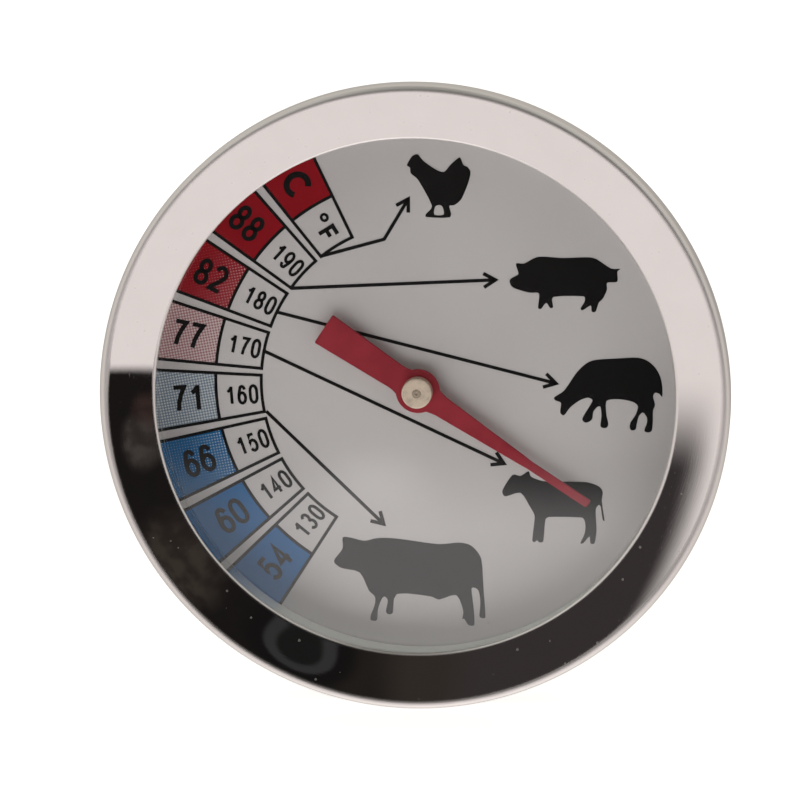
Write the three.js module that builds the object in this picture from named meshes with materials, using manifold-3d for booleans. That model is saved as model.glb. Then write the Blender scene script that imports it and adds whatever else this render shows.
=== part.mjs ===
// Dial meat thermometer: a bimetal coil in the tip of a thin stem turns a long staff, and the
// staff turns the pointer over a printed dial in a round steel case.
//
// Millimetres, +Z up. The stem lies along Y: its blunt tip is the origin, and the dial faces -Y.
// Every length along the stem is a distance from the tip, so a station s is the plane y = -s.

import * as THREE from "three";
import Module from "manifold-3d";
import { mergeVertices } from "three/addons/utils/BufferGeometryUtils.js";

const wasm = await Module();
wasm.setup();

// ---- Driving dimensions -------------------------------------------------------------------

const headRadius = 31; // over the bezel
const lipRadius = 25.6; // the bezel's inner edge, around the visible dial
const caseBack = 112; // station of the case's back face
const sheet = 0.5; // case and bezel steel
const headSegments = 60;
const stemSegments = 24;

// Case: a drum, a shoulder that carries the dial, a wider wall, and a flange for the bezel.
const drumRadius = 25;
const drumCorner = 2;
const wallRadius = 28;
const flangeRadius = 30.2;
const shoulder = caseBack + 4.8;
const flange = caseBack + 9.9;
const recessRadius = 6.5; // dished centre of the back, which holds the seal
const recessDepth = 0.4;
const recessBend = 0.1;
const caseHoleRadius = 3.6;

// Stack inside the case, from the shoulder forward.
const dialThickness = 0.5;
const stackRadius = 27.3;
const dialHoleRadius = 1.75;
const dialBack = shoulder + sheet;
const dialFace = dialBack + dialThickness;
const spacerInner = 26.2;
const spacerFront = caseBack + 9;
const gasketInner = 26.5;
const gasketFront = spacerFront + 0.5;
const lensFront = gasketFront + 1.8;

// Bezel: a dished face that rises from the lip to a rounded outer edge.
const lipFront = lensFront + sheet;
const dishRise = 1.19;
const dishRadius = 30.15;
const edgeRadius = 0.65;
const edgeCentre = lipFront + 0.575;
const crimp = flange - 0.1 - sheet; // back of the edge that is rolled in under the flange
const crimpInner = 29;

// Stem and its two ends.
const stemRadius = 2;
const stemBore = 1.7;
const plugRadius = 1.65; // pieces pressed into the stem
const tipFlatRadius = 0.6;
const tipTaper = 7;
const tipPlugEnd = 9.5;
const stemTop = caseBack + 4;

// Screwed joint between the stem and the case.
const hexRadius = 5.2; // over the corners
const collarRadius = 3.4;
const collarBore = 2.05;
const headLength = 3;
const sealRadius = 4.9;
const sealThickness = 0.6;
const washerInner = 3.5;
const washerOuter = 5.6;
const washerTeeth = 12;
const washerToothDepth = 0.9;
const washerThickness = 0.5;
const nutBore = 3.45;
const nutThickness = 2;
const recessFloor = caseBack + recessDepth;
const hexFront = recessFloor - sealThickness;
const collarEnd = caseBack + 3.9;
const washerBack = recessFloor + sheet;
const nutBack = washerBack + washerThickness;

// Bimetal coil and the staff it turns.
const anchorEnd = 11.5;
const anchorPostRadius = 0.7;
const anchorPostEnd = 13;
const coilRadius = 1.2; // to the middle of the strip
const coilTurns = 14;
const coilStripWidth = 1.8;
const coilStripThickness = 0.15;
const coilTop = 51.5;
const coilStepsPerTurn = 12;
const arborRadius = 1.3;
const arborStart = coilTop + 0.4;
const arborEnd = arborStart + 2.4;
const arborFloor = arborStart + 0.4;
const staffRadius = 0.4;
const staffBore = staffRadius + 0.02; // of the pieces pressed onto the staff
const bearingBore = 0.5;
const bearingLength = 3;
const lowerBearing = 57;
const middleBearing = 86;
const bushLength = 3.5; // of the upper bearing, inside the stem
const bushFlangeRadius = 2;
const bushFlange = 0.6;
const bushNoseRadius = 1.6;
const bushNoseEnd = dialFace + 0.1;

// Pointer and the pieces that hold it on the staff.
const runningGap = 0.1;
const thrustCollarRadius = 1.1;
const thrustCollarLength = 0.4;
const pointerBack = dialFace + 1.25;
const pointerThickness = 0.35;
const pointerLength = 20.3;
const neckAlong = 13.1;
const tailLength = 11.2;
const bossRadius = 2.2;
const tipHalfWidth = 0.43;
const rootHalfWidth = 1.08;
const tailRootHalfWidth = 1.27;
const tailEndHalfWidth = 1.67;
const hubBarrelRadius = 1;
const bladeHoleRadius = hubBarrelRadius + 0.02;
const hubHeadRadius = 1.5;
const hubFlangeRadius = 1.4;
const hubFlange = 0.5;
const hubChamfer = 0.12;
const hubFront = dialFace + 3.1;
const pointerAtRest = 123.2; // degrees clockwise from the top of the dial, which reads 20 C

// ---- Materials ----------------------------------------------------------------------------

const metal = (color, roughness) => new THREE.MeshStandardMaterial({ color, roughness, metalness: 1 });
const plain = (color, roughness) => new THREE.MeshStandardMaterial({ color, roughness, metalness: 0 });
const polishedSteel = () => metal(0xd0cdc8, 0.12);
const brushedSteel = () => metal(0xb9b8b4, 0.35);
const brass = () => metal(0xc9a85c, 0.3);
const nickel = () => metal(0xbdb0a2, 0.3);

// ---- Geometry helpers ---------------------------------------------------------------------

// Twice the signed area of a closed outline of [radius, station] points.
function windingOf(profile) {
  return profile.reduce((sum, [r, s], i) => {
    const [nextR, nextS] = profile[(i + 1) % profile.length];
    return sum + r * nextS - nextR * s;
  }, 0);
}

// A solid turned about the stem's axis from an outline of [radius, station] points.
function turned(profile, segments) {
  const ordered = windingOf(profile) > 0 ? [...profile].reverse() : profile;
  const points = [...ordered, ordered[0]].map(([r, s]) => new THREE.Vector2(r, -s));
  return new THREE.LatheGeometry(points, segments);
}

// A plain ring or bush between two radii and two stations.
function ring(inner, outer, from, to, segments) {
  return turned([[inner, from], [outer, from], [outer, to], [inner, to]], segments);
}

// Points on a circular arc in the [radius, station] plane, angles in degrees from the +radius side.
function arc(r, s, radius, fromDegrees, toDegrees, steps) {
  return Array.from({ length: steps + 1 }, (_, i) => {
    const a = THREE.MathUtils.degToRad(fromDegrees + ((toDegrees - fromDegrees) * i) / steps);
    return [r + radius * Math.cos(a), s + radius * Math.sin(a)];
  });
}

// A flat shape, drawn as seen from the front of the dial, given thickness between two stations.
function plate(shape, from, to) {
  const geometry = new THREE.ExtrudeGeometry(shape, {
    depth: to - from,
    bevelEnabled: false,
    curveSegments: stemSegments / 2,
  });
  return geometry.rotateX(Math.PI / 2).translate(0, -from, 0);
}

// A closed star or polygon whose corners alternate between the given radii.
function starShape(radii, corners) {
  const shape = new THREE.Shape();
  for (let i = 0; i < corners; i++) {
    const a = (i * 2 * Math.PI) / corners;
    const r = radii[i % radii.length];
    if (i === 0) shape.moveTo(r * Math.cos(a), r * Math.sin(a));
    else shape.lineTo(r * Math.cos(a), r * Math.sin(a));
  }
  shape.closePath();
  return shape;
}

function roundHole(radius) {
  return new THREE.Path().absarc(0, 0, radius, 0, 2 * Math.PI, true);
}

function solidOf(geometry) {
  const bare = geometry.index ? geometry.toNonIndexed() : geometry.clone();
  bare.deleteAttribute("normal");
  bare.deleteAttribute("uv");
  const merged = mergeVertices(bare, 1e-3);
  return new wasm.Manifold(
    new wasm.Mesh({
      numProp: 3,
      vertProperties: merged.attributes.position.array,
      triVerts: new Uint32Array(merged.index.array),
    }),
  );
}

// One closed solid from two that overlap.
function joined(first, second) {
  const mesh = solidOf(first).add(solidOf(second)).getMesh();
  const geometry = new THREE.BufferGeometry();
  geometry.setAttribute("position", new THREE.BufferAttribute(mesh.vertProperties, 3));
  geometry.setIndex(new THREE.BufferAttribute(mesh.triVerts, 1));
  geometry.computeVertexNormals();
  return geometry;
}

// A helix about the Y axis whose frames keep a flat strip facing the axis.
class CoilCurve extends THREE.Curve {
  constructor(radius, from, to, turns) {
    super();
    Object.assign(this, { radius, from, to, turns });
  }
  angleAt(t) {
    return 2 * Math.PI * this.turns * t;
  }
  getPoint(t, target = new THREE.Vector3()) {
    const a = this.angleAt(t);
    const station = THREE.MathUtils.lerp(this.from, this.to, t);
    return target.set(this.radius * Math.sin(a), -station, this.radius * Math.cos(a));
  }
  computeFrenetFrames(steps) {
    const frames = { tangents: [], normals: [], binormals: [] };
    for (let i = 0; i <= steps; i++) {
      const a = this.angleAt(i / steps);
      frames.tangents.push(this.getTangent(i / steps));
      frames.normals.push(new THREE.Vector3(Math.sin(a), 0, Math.cos(a)));
      frames.binormals.push(new THREE.Vector3(0, -1, 0));
    }
    return frames;
  }
}

// ---- Housing pieces -----------------------------------------------------------------------

function caseGeometry() {
  const back = caseBack;
  const outerCorner = arc(drumRadius - drumCorner, back + drumCorner, drumCorner, -90, 0, 4);
  const innerCorner = arc(
    drumRadius - drumCorner, back + drumCorner, drumCorner - sheet, 0, -90, 4,
  );
  return turned(
    [
      [caseHoleRadius, recessFloor],
      [recessRadius - recessDepth, recessFloor],
      [recessRadius, back],
      ...outerCorner,
      [drumRadius, shoulder],
      [wallRadius, shoulder],
      [wallRadius, flange],
      [flangeRadius, flange],
      [flangeRadius, flange + sheet],
      [wallRadius - sheet, flange + sheet],
      [wallRadius - sheet, shoulder + sheet],
      [drumRadius - sheet, shoulder + sheet],
      ...innerCorner,
      [recessRadius + recessBend, back + sheet],
      [recessRadius - recessDepth, recessFloor + sheet],
      [caseHoleRadius, recessFloor + sheet],
    ],
    headSegments,
  );
}

function bezelGeometry() {
  const edge = headRadius - edgeRadius;
  return turned(
    [
      [lipRadius, lensFront],
      [lipRadius, lipFront],
      [dishRadius, lipFront + dishRise],
      ...arc(edge, edgeCentre, edgeRadius, 90, 0, 5),
      [headRadius, crimp + sheet],
      [headRadius - sheet, crimp],
      [crimpInner, crimp],
      [crimpInner, crimp + sheet],
      [headRadius - sheet, crimp + sheet],
      ...arc(edge, edgeCentre, edgeRadius - sheet, 0, 90, 3),
      [dishRadius, lipFront + dishRise - sheet],
    ],
    headSegments,
  );
}

function stemTipGeometry() {
  return turned(
    [
      [0, 0],
      [tipFlatRadius, 0],
      [stemRadius, tipTaper],
      [plugRadius, tipTaper],
      [plugRadius, tipPlugEnd],
      [0, tipPlugEnd],
    ],
    stemSegments,
  );
}

function coilAnchorGeometry() {
  return turned(
    [
      [0, tipPlugEnd],
      [plugRadius, tipPlugEnd],
      [plugRadius, anchorEnd],
      [anchorPostRadius, anchorEnd],
      [anchorPostRadius, anchorPostEnd],
      [0, anchorPostEnd],
    ],
    stemSegments,
  );
}

function coilGeometry() {
  const x = coilStripThickness / 2;
  const y = coilStripWidth / 2;
  const strip = new THREE.Shape([
    new THREE.Vector2(-x, -y),
    new THREE.Vector2(x, -y),
    new THREE.Vector2(x, y),
    new THREE.Vector2(-x, y),
  ]);
  return new THREE.ExtrudeGeometry(strip, {
    steps: coilTurns * coilStepsPerTurn,
    extrudePath: new CoilCurve(coilRadius, anchorEnd + y, coilTop - y, coilTurns),
  });
}

function guideBearingGeometry(from) {
  return ring(bearingBore, plugRadius, from, from + bearingLength, stemSegments);
}

function upperBearingGeometry() {
  return turned(
    [
      [bearingBore, stemTop - bushLength],
      [plugRadius, stemTop - bushLength],
      [plugRadius, stemTop],
      [bushFlangeRadius, stemTop],
      [bushFlangeRadius, stemTop + bushFlange],
      [bushNoseRadius, stemTop + bushFlange],
      [bushNoseRadius, bushNoseEnd],
      [bearingBore, bushNoseEnd],
    ],
    stemSegments,
  );
}

function stemCollarGeometry() {
  const hex = starShape([hexRadius], 6);
  hex.holes.push(roundHole(collarBore + sheet));
  return joined(
    plate(hex, hexFront - headLength, hexFront),
    ring(collarBore, collarRadius, hexFront - headLength, collarEnd, stemSegments),
  );
}

function lockWasherGeometry() {
  const star = starShape([washerOuter, washerOuter - washerToothDepth], 2 * washerTeeth);
  star.holes.push(roundHole(washerInner));
  return plate(star, washerBack, washerBack + washerThickness);
}

function collarNutGeometry() {
  const hex = starShape([hexRadius], 6);
  hex.holes.push(roundHole(nutBore));
  return plate(hex, nutBack, nutBack + nutThickness);
}

// ---- Pointer pieces -----------------------------------------------------------------------

// The blade points up the dial here: a needle that tapers to its neck and is even from there to
// the tip, a round boss, and a tail that widens.
function pointerGeometry() {
  const up = (halfWidth) => Math.sqrt(bossRadius ** 2 - halfWidth ** 2);
  const rootAngle = Math.atan2(up(rootHalfWidth), rootHalfWidth);
  const tailAngle = Math.atan2(up(tailRootHalfWidth), tailRootHalfWidth);
  const shape = new THREE.Shape();
  shape.moveTo(tipHalfWidth, pointerLength);
  shape.lineTo(-tipHalfWidth, pointerLength);
  shape.lineTo(-tipHalfWidth, neckAlong);
  shape.absarc(0, 0, bossRadius, Math.PI - rootAngle, Math.PI + tailAngle, false);
  shape.lineTo(-tailEndHalfWidth, -tailLength);
  shape.lineTo(tailEndHalfWidth, -tailLength);
  shape.absarc(0, 0, bossRadius, -tailAngle, rootAngle, false);
  shape.lineTo(tipHalfWidth, neckAlong);
  shape.closePath();
  shape.holes.push(roundHole(bladeHoleRadius));
  return plate(shape, pointerBack, pointerBack + pointerThickness);
}

// A turned rivet whose groove holds the blade; the staff is pressed into its bore.
function pointerHubGeometry() {
  const front = pointerBack + pointerThickness;
  return turned(
    [
      [staffBore, pointerBack - hubFlange],
      [hubFlangeRadius, pointerBack - hubFlange],
      [hubFlangeRadius, pointerBack],
      [hubBarrelRadius, pointerBack],
      [hubBarrelRadius, front],
      [hubHeadRadius, front],
      [hubHeadRadius, hubFront - hubChamfer],
      [hubHeadRadius - hubChamfer, hubFront],
      [staffBore, hubFront],
    ],
    stemSegments,
  );
}

function staffGeometry() {
  return turned(
    [[0, arborFloor], [staffRadius, arborFloor], [staffRadius, hubFront], [0, hubFront]],
    stemSegments,
  );
}

function coilArborGeometry() {
  return turned(
    [
      [0, arborStart],
      [arborRadius, arborStart],
      [arborRadius, arborEnd],
      [staffBore, arborEnd],
      [staffBore, arborFloor],
      [0, arborFloor],
    ],
    stemSegments,
  );
}

function thrustCollarGeometry() {
  const back = bushNoseEnd + runningGap;
  return ring(staffBore, thrustCollarRadius, back, back + thrustCollarLength, stemSegments);
}

// ---- Assembly -----------------------------------------------------------------------------

function piece(name, geometry, material) {
  const mesh = new THREE.Mesh(geometry, material);
  mesh.name = name;
  return mesh;
}

const housing = new THREE.Group();
housing.add(
  piece("case", caseGeometry(), brushedSteel()),
  piece("bezel", bezelGeometry(), polishedSteel()),
  piece(
    "lens",
    turned(
      [[0, gasketFront], [stackRadius, gasketFront], [stackRadius, lensFront], [0, lensFront]],
      headSegments,
    ),
    plain(0xe8eeec, 0.05),
  ),
  piece(
    "lens_gasket",
    ring(gasketInner, stackRadius, spacerFront, gasketFront, headSegments),
    plain(0xd9d9d4, 0.6),
  ),
  piece(
    "spacer_ring",
    ring(spacerInner, stackRadius, dialFace, spacerFront, headSegments),
    polishedSteel(),
  ),
  piece(
    "dial_plate",
    ring(dialHoleRadius, stackRadius, dialBack, dialFace, headSegments),
    metal(0xa19f9a, 0.45),
  ),
  piece("stem_tube", ring(stemBore, stemRadius, tipTaper, stemTop, stemSegments), brushedSteel()),
  piece("stem_tip", stemTipGeometry(), brushedSteel()),
  piece("stem_collar", stemCollarGeometry(), brushedSteel()),
  piece(
    "collar_seal",
    ring(washerInner, sealRadius, hexFront, recessFloor, stemSegments),
    plain(0xb8482f, 0.7),
  ),
  piece("lock_washer", lockWasherGeometry(), brushedSteel()),
  piece("collar_nut", collarNutGeometry(), brass()),
  piece("upper_bearing", upperBearingGeometry(), brass()),
  piece("middle_bearing", guideBearingGeometry(middleBearing), brass()),
  piece("lower_bearing", guideBearingGeometry(lowerBearing), brass()),
  piece("coil_anchor", coilAnchorGeometry(), brass()),
  piece("bimetal_coil", coilGeometry(), metal(0xa89a86, 0.4)),
);

const pointerAssembly = new THREE.Group();
pointerAssembly.rotation.y = THREE.MathUtils.degToRad(pointerAtRest);
pointerAssembly.add(
  piece("pointer", pointerGeometry(), plain(0x9a2a2f, 0.5)),
  piece("pointer_hub", pointerHubGeometry(), nickel()),
  piece("staff", staffGeometry(), brushedSteel()),
  piece("coil_arbor", coilArborGeometry(), brass()),
  piece("thrust_collar", thrustCollarGeometry(), brass()),
);

const thermometer = new THREE.Group();
thermometer.add(housing, pointerAssembly);

export default thermometer;
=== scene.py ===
"""Looks of a dial meat thermometer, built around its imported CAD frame.

The stem lies along Y and the dial faces -Y. A station is a distance in mm from the stem's tip, so
station s is the plane y = -s. Dial positions are (x, z) in mm, seen from the front of the dial.
"""

import math

import bmesh
import bpy
from mathutils import Matrix, Vector
from mathutils.geometry import tessellate_polygon


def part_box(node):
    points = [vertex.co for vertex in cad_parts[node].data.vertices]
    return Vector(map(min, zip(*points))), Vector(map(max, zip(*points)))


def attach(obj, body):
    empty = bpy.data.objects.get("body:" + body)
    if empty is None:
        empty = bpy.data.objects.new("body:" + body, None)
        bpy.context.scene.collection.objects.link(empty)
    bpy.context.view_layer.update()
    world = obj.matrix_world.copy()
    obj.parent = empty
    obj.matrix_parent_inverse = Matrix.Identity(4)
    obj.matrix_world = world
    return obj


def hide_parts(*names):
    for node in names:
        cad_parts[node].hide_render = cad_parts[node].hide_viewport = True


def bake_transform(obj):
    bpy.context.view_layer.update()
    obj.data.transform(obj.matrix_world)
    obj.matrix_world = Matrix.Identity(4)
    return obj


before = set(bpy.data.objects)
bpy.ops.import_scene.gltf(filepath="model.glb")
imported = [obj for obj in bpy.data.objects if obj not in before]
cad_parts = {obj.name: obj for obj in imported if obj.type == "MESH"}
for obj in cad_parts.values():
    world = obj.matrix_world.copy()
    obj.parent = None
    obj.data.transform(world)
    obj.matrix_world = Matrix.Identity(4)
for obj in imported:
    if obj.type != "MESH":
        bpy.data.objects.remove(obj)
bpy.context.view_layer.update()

MM = 0.001
TURN = 2 * math.pi
HOUSING, POINTER = "housing", "pointer_assembly"


# ---- Frame ----


def extent(node):
    """Back station, front station and outer radius of a CAD node, in mm."""
    low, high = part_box(node)
    return -high.y / MM, -low.y / MM, max(high.x, high.z) / MM


# Lengths in mm that pieces share, and the pointer's angle at rest, clockwise from the top.
DIAL_FACE = extent("dial_plate")[1]
SHEET = 0.5
SPACER_INNER = 26.2
STAFF_BORE = 0.42
STEM_BORE = 1.65
PRINT_CENTRE = (0.385, 0.54)
REST_ANGLE = 123.2


# ---- Shader graphs ----


class Graph:
    """Short calls that add nodes to the shader tree of one material or world.

    A colour is given as (red, green, blue).
    """

    def __init__(self, owner):
        owner.use_nodes = True
        self.owner, self.tree = owner, owner.node_tree
        self.tree.nodes.clear()

    def put(self, socket, value):
        if isinstance(value, bpy.types.NodeSocket):
            self.tree.links.new(value, socket)
        elif value is not None:
            socket.default_value = (*value, 1) if socket.type == "RGBA" else value

    def node(self, kind, inputs=(), **settings):
        made = self.tree.nodes.new("ShaderNode" + kind)
        for name, value in settings.items():
            setattr(made, name, value)
        for name, value in dict(inputs).items():
            self.put(made.inputs[name], value)
        return made

    def math(self, operation, first, second=None, clamp=False):
        made = self.node("Math", {0: first, 1: second}, operation=operation, use_clamp=clamp)
        return made.outputs[0]

    def times(self, first, *others):
        for other in others:
            first = self.math("MULTIPLY", first, other)
        return first

    def plus(self, first, second):
        return self.math("ADD", first, second)

    def vector(self, operation, first, second=None, scale=None):
        made = self.node("VectorMath", {0: first, 1: second, 3: scale}, operation=operation)
        return made.outputs["Vector" if scale else "Value"]

    def mix(self, share, first, second):
        return self.node("Mix", {0: share, 6: first, 7: second}, data_type="RGBA").outputs[2]

    def span(self, value, low, high, to_low=0, to_high=1):
        """The value mapped smoothly from one range to another and held at its ends."""
        inputs = {"Value": value, 1: low, 2: high, 3: to_low, 4: to_high}
        return self.node("MapRange", inputs, interpolation_type="SMOOTHSTEP").outputs[0]

    def noise(self, vector, scale, detail=2, roughness=0.5):
        inputs = {"Vector": vector, "Scale": scale, "Detail": detail, "Roughness": roughness}
        return self.node("TexNoise", inputs).outputs["Fac"]

    def split(self, vector):
        return self.node("SeparateXYZ", {0: vector}).outputs[:3]

    def join(self, x, y, z):
        return self.node("CombineXYZ", {0: x, 1: y, 2: z}).outputs[0]

    def bump(self, height, strength, distance=0.01):
        inputs = {"Height": height, "Strength": strength, "Distance": distance * MM}
        return self.node("Bump", inputs).outputs[0]

    def place(self):
        """The shaded point in mm."""
        here = self.node("TexCoord").outputs["Object"]
        return self.vector("SCALE", here, scale=1 / MM)

    def round_place(self, around):
        """The shaded point as (radius, station, turn), the turn stretched by around."""
        x, y, z = self.split(self.place())
        radius = self.vector("LENGTH", self.join(x, 0, z))
        return self.join(radius, y, self.times(self.math("ARCTAN2", x, z), around))

    def blend(self, share, first, second):
        """One shader showing through another."""
        return self.node("MixShader", {0: share, 1: first, 2: second}).outputs[0]

    def surface(self, shader, kind="OutputMaterial"):
        """Ends the graph, and gives back the material or world."""
        self.node(kind, {"Surface": shader})
        return self.owner


def new_graph(name):
    return Graph(bpy.data.materials.new(name))


def principled(g, colour, roughness, metallic=0, normal=None, **extra):
    inputs = {"Base Color": colour, "Roughness": roughness, "Metallic": metallic, "Normal": normal}
    inputs.update({name.replace("_", " "): value for name, value in extra.items()})
    return g.node("BsdfPrincipled", inputs).outputs[0]


def dust_mask(g, spacing, size):
    """Sparse specks: 1 inside a speck of the given size in mm, 0 elsewhere."""
    bare_share = 0.72
    cells = g.node("TexVoronoi", {"Vector": g.place(), "Scale": 1 / spacing})
    chosen = g.math("GREATER_THAN", g.split(cells.outputs["Color"])[0], bare_share)
    reach = g.times(g.split(cells.outputs["Color"])[1], size / spacing)
    return g.times(chosen, g.math("LESS_THAN", cells.outputs["Distance"], reach))


def shade(colour, share):
    """The colour at a share of its brightness."""
    return [share * c for c in colour]


def polished_steel():
    """Buffed stainless steel with faint buffing lines, hairline scratches and a little dust."""
    g = new_graph("polished_steel")
    rings = g.noise(g.round_place(2), 9, 3)
    strands = {"Vector": g.place(), "Rotation": (0, 0.9, 0), "Scale": (9, 1, 0.5)}
    scratches = g.noise(g.node("Mapping", strands).outputs[0], 2.4, 4, 0.7)
    scratches = g.span(scratches, 0.67, 0.74)
    cloud = g.noise(g.place(), 0.35, 3)
    buffed = g.plus(g.span(cloud, 0.35, 0.75, 0.012, 0.03), g.times(scratches, 0.1))
    radius = g.split(g.round_place(1))[0]
    worn_edge = g.span(radius, 29.9, 30.35, 0, 0.42)
    worn_lip = g.span(radius, 26, 25.75, 0, 0.3)
    roughness = g.plus(buffed, g.plus(worn_edge, worn_lip))
    tint = g.mix(cloud, (0.72, 0.682, 0.668), (0.675, 0.645, 0.628))
    steel = principled(g, tint, roughness, 1, g.bump(g.plus(rings, scratches), 0.05))
    lint = principled(g, (0.62, 0.6, 0.55), 0.9)
    return g.surface(g.blend(g.times(dust_mask(g, 0.8, 0.15), 0.18), steel, lint))


def bright_steel():
    """The spacer's plated inner wall: a mirror, faintly filmed, brightened towards the bottom by
    painted light.
    """
    g = new_graph("bright_steel")
    haze = g.noise(g.round_place(3), 0.6, 3)
    rough = g.span(haze, 0.3, 0.7, 0.03, 0.08)
    plate = principled(g, (0.97, 0.965, 0.955), rough, 1, g.bump(haze, 0.01))
    film = principled(g, (0.96, 0.98, 0.96), 0.7)
    # Painted light: the pale film's share grows towards the bottom of the wall, brightening it
    # there.
    painted_light_low = g.span(g.split(g.place())[2], -16, -24, 0, 0.85)
    return g.surface(g.blend(g.plus(g.span(haze, 0.3, 0.7, 0.02, 0.05), painted_light_low), plate, film))


def satin_steel(name, around, colour, roughness):
    """Drawn or ground steel whose fine lines run around the stem's axis."""
    g = new_graph(name)
    lines = g.noise(g.round_place(around), 14, 4, 0.65)
    cloud = g.noise(g.place(), 0.22, 3)
    tint = g.mix(g.span(cloud, 0.3, 0.75), colour, shade(colour, 0.8))
    rough = g.span(lines, 0.3, 0.7, roughness - 0.07, roughness + 0.08)
    lined = g.bump(lines, 0.25, 0.02)
    return g.surface(principled(g, tint, rough, 1, lined, Anisotropic=0.5))


def turned_metal(name, colour, roughness, metallic=1):
    """Lathe-turned metal: fine grooves round the axis and a mottled, slightly tarnished colour."""
    g = new_graph(name)
    grooves = g.node(
        "TexWave", {"Vector": g.round_place(0.3), "Scale": 5, "Distortion": 1.5, "Detail": 2},
        wave_type="BANDS", bands_direction="DIAGONAL",
    ).outputs["Fac"]
    cloud = g.noise(g.place(), 0.9, 4, 0.6)
    tint = g.mix(g.span(cloud, 0.42, 0.8), colour, shade(colour, 0.62))
    rough = g.span(cloud, 0.3, 0.8, roughness - 0.06, roughness + 0.14)
    return g.surface(principled(g, tint, rough, metallic, g.bump(grooves, 0.2, 0.02)))


def dial_paint():
    """Silver-grey satin print over aluminium: fine flakes and a faint drift in tone."""
    g = new_graph("dial_paint")
    flakes = g.noise(g.place(), 9, 2, 0.7)
    drift = g.noise(g.place(), 0.05)
    tint = g.mix(g.span(drift, 0.35, 0.65), (0.607, 0.577, 0.587), (0.648, 0.618, 0.623))
    tint = g.mix(g.span(flakes, 0.3, 0.7, 0, 0.12), tint, (0.78, 0.77, 0.76))
    rough = g.span(flakes, 0.3, 0.7, 0.42, 0.55)
    return g.surface(principled(g, tint, rough, 0.35, g.bump(flakes, 0.06)))


def black_ink():
    g = new_graph("black_ink")
    grain = g.noise(g.place(), 7, 3)
    tint = g.mix(grain, (0.002, 0.002, 0.003), (0.008, 0.008, 0.009))
    rough = g.span(grain, 0.3, 0.7, 0.45, 0.6)
    return g.surface(principled(g, tint, rough, 0, g.bump(grain, 0.05), Specular_IOR_Level=0.06))


def halftone_ink():
    """Scale patches: each has its own ink, laid down solid or as a screen of dots over the dial."""
    pitch, softness, screen_turn = 0.28, 0.1, 0.2
    g = new_graph("halftone_ink")
    ink, ground, cover = (g.node("Attribute", attribute_name=n) for n in ("ink", "ground", "cover"))
    turned_place = g.node("Mapping", {"Vector": g.place(), "Rotation": (0, screen_turn, 0)})
    x, _, z = g.split(turned_place.outputs[0])
    waves = [g.math("COSINE", g.times(v, TURN / pitch)) for v in (x, z)]
    screen = g.plus(g.times(g.plus(*waves), 0.25), 0.5)
    gap = g.math("SUBTRACT", 1, cover.outputs["Fac"])
    dots = g.math("DIVIDE", g.math("SUBTRACT", screen, gap), softness)
    dots = g.math("ADD", dots, 0.5, clamp=True)
    grain = g.noise(g.place(), 5, 3)
    tint = g.mix(dots, ground.outputs["Color"], ink.outputs["Color"])
    tint = g.mix(g.span(grain, 0.3, 0.7, 0, 0.1), tint, (0.02, 0.02, 0.03))
    return g.surface(principled(g, tint, 0.5, 0, g.bump(grain, 0.05), Specular_IOR_Level=0.04))


def red_paint():
    """Baked red enamel on the blade, with a soft orange-peel skin and a few pale specks."""
    g = new_graph("red_paint")
    orange_peel = g.noise(g.place(), 3.2)
    cloud = g.noise(g.place(), 0.5, 3)
    tint = g.mix(g.span(cloud, 0.3, 0.7), (0.275, 0.018, 0.031), (0.335, 0.023, 0.039))
    tint = g.mix(g.times(dust_mask(g, 1.3, 0.09), 0.5), tint, (0.6, 0.5, 0.48))
    rough = g.span(cloud, 0.3, 0.7, 0.3, 0.42)
    skin = g.bump(orange_peel, 0.12, 0.03)
    return g.surface(principled(g, tint, rough, 0, skin, Specular_IOR_Level=0.16))


def clear_glass():
    """A flat pane seen straight through, with mirror reflections and a few specks of dust."""
    glass_index = 1.6
    g = new_graph("clear_glass")
    back = g.node("NewGeometry").outputs["Backfacing"]
    index = g.span(back, 0, 1, glass_index, 1 / glass_index)
    share = g.node("Fresnel", {"IOR": index}).outputs[0]
    smear = g.span(g.noise(g.place(), 0.16, 4, 0.6), 0.3, 0.8, 0, 0.012)
    mirror = g.node("BsdfGlossy", {"Color": (1, 1, 1), "Roughness": smear})
    through = g.node("BsdfTransparent", {"Color": (0.985, 0.99, 0.985)})
    pane = g.blend(share, through.outputs[0], mirror.outputs[0])
    lint = principled(g, (0.7, 0.7, 0.68), 0.9)
    return g.surface(g.blend(g.times(dust_mask(g, 2.6, 0.08), 0.45), pane, lint))


def rubber(name, colour, translucence):
    """Moulded silicone with a soft, slightly grainy skin."""
    g = new_graph(name)
    grain = g.noise(g.place(), 6, 4)
    tint = g.mix(grain, colour, shade(colour, 0.75))
    rough = g.span(grain, 0.3, 0.7, 0.45, 0.65)
    inside = {"Subsurface_Weight": translucence, "Subsurface_Scale": MM}
    return g.surface(principled(g, tint, rough, 0, g.bump(grain, 0.2, 0.02), **inside))


def bimetal():
    """Two alloys bonded back to back: warm on the outside of the coil, grey within."""
    g = new_graph("bimetal")
    x, _, z = g.split(g.place())
    radius = g.vector("LENGTH", g.join(x, 0, z))
    facing_x, _, facing_z = g.split(g.node("NewGeometry").outputs["Normal"])
    outward = g.plus(g.times(facing_x, x), g.times(facing_z, z))
    side = g.math("GREATER_THAN", g.math("DIVIDE", outward, radius), 0)
    rolled = g.noise(g.round_place(0.6), 8, 3)
    tint = g.mix(side, (0.42, 0.41, 0.40), (0.56, 0.43, 0.29))
    tint = g.mix(g.span(rolled, 0.45, 0.8, 0, 0.5), tint, (0.25, 0.2, 0.22))
    rough = g.span(rolled, 0.3, 0.7, 0.3, 0.45)
    return g.surface(principled(g, tint, rough, 1, g.bump(rolled, 0.15)))


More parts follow.
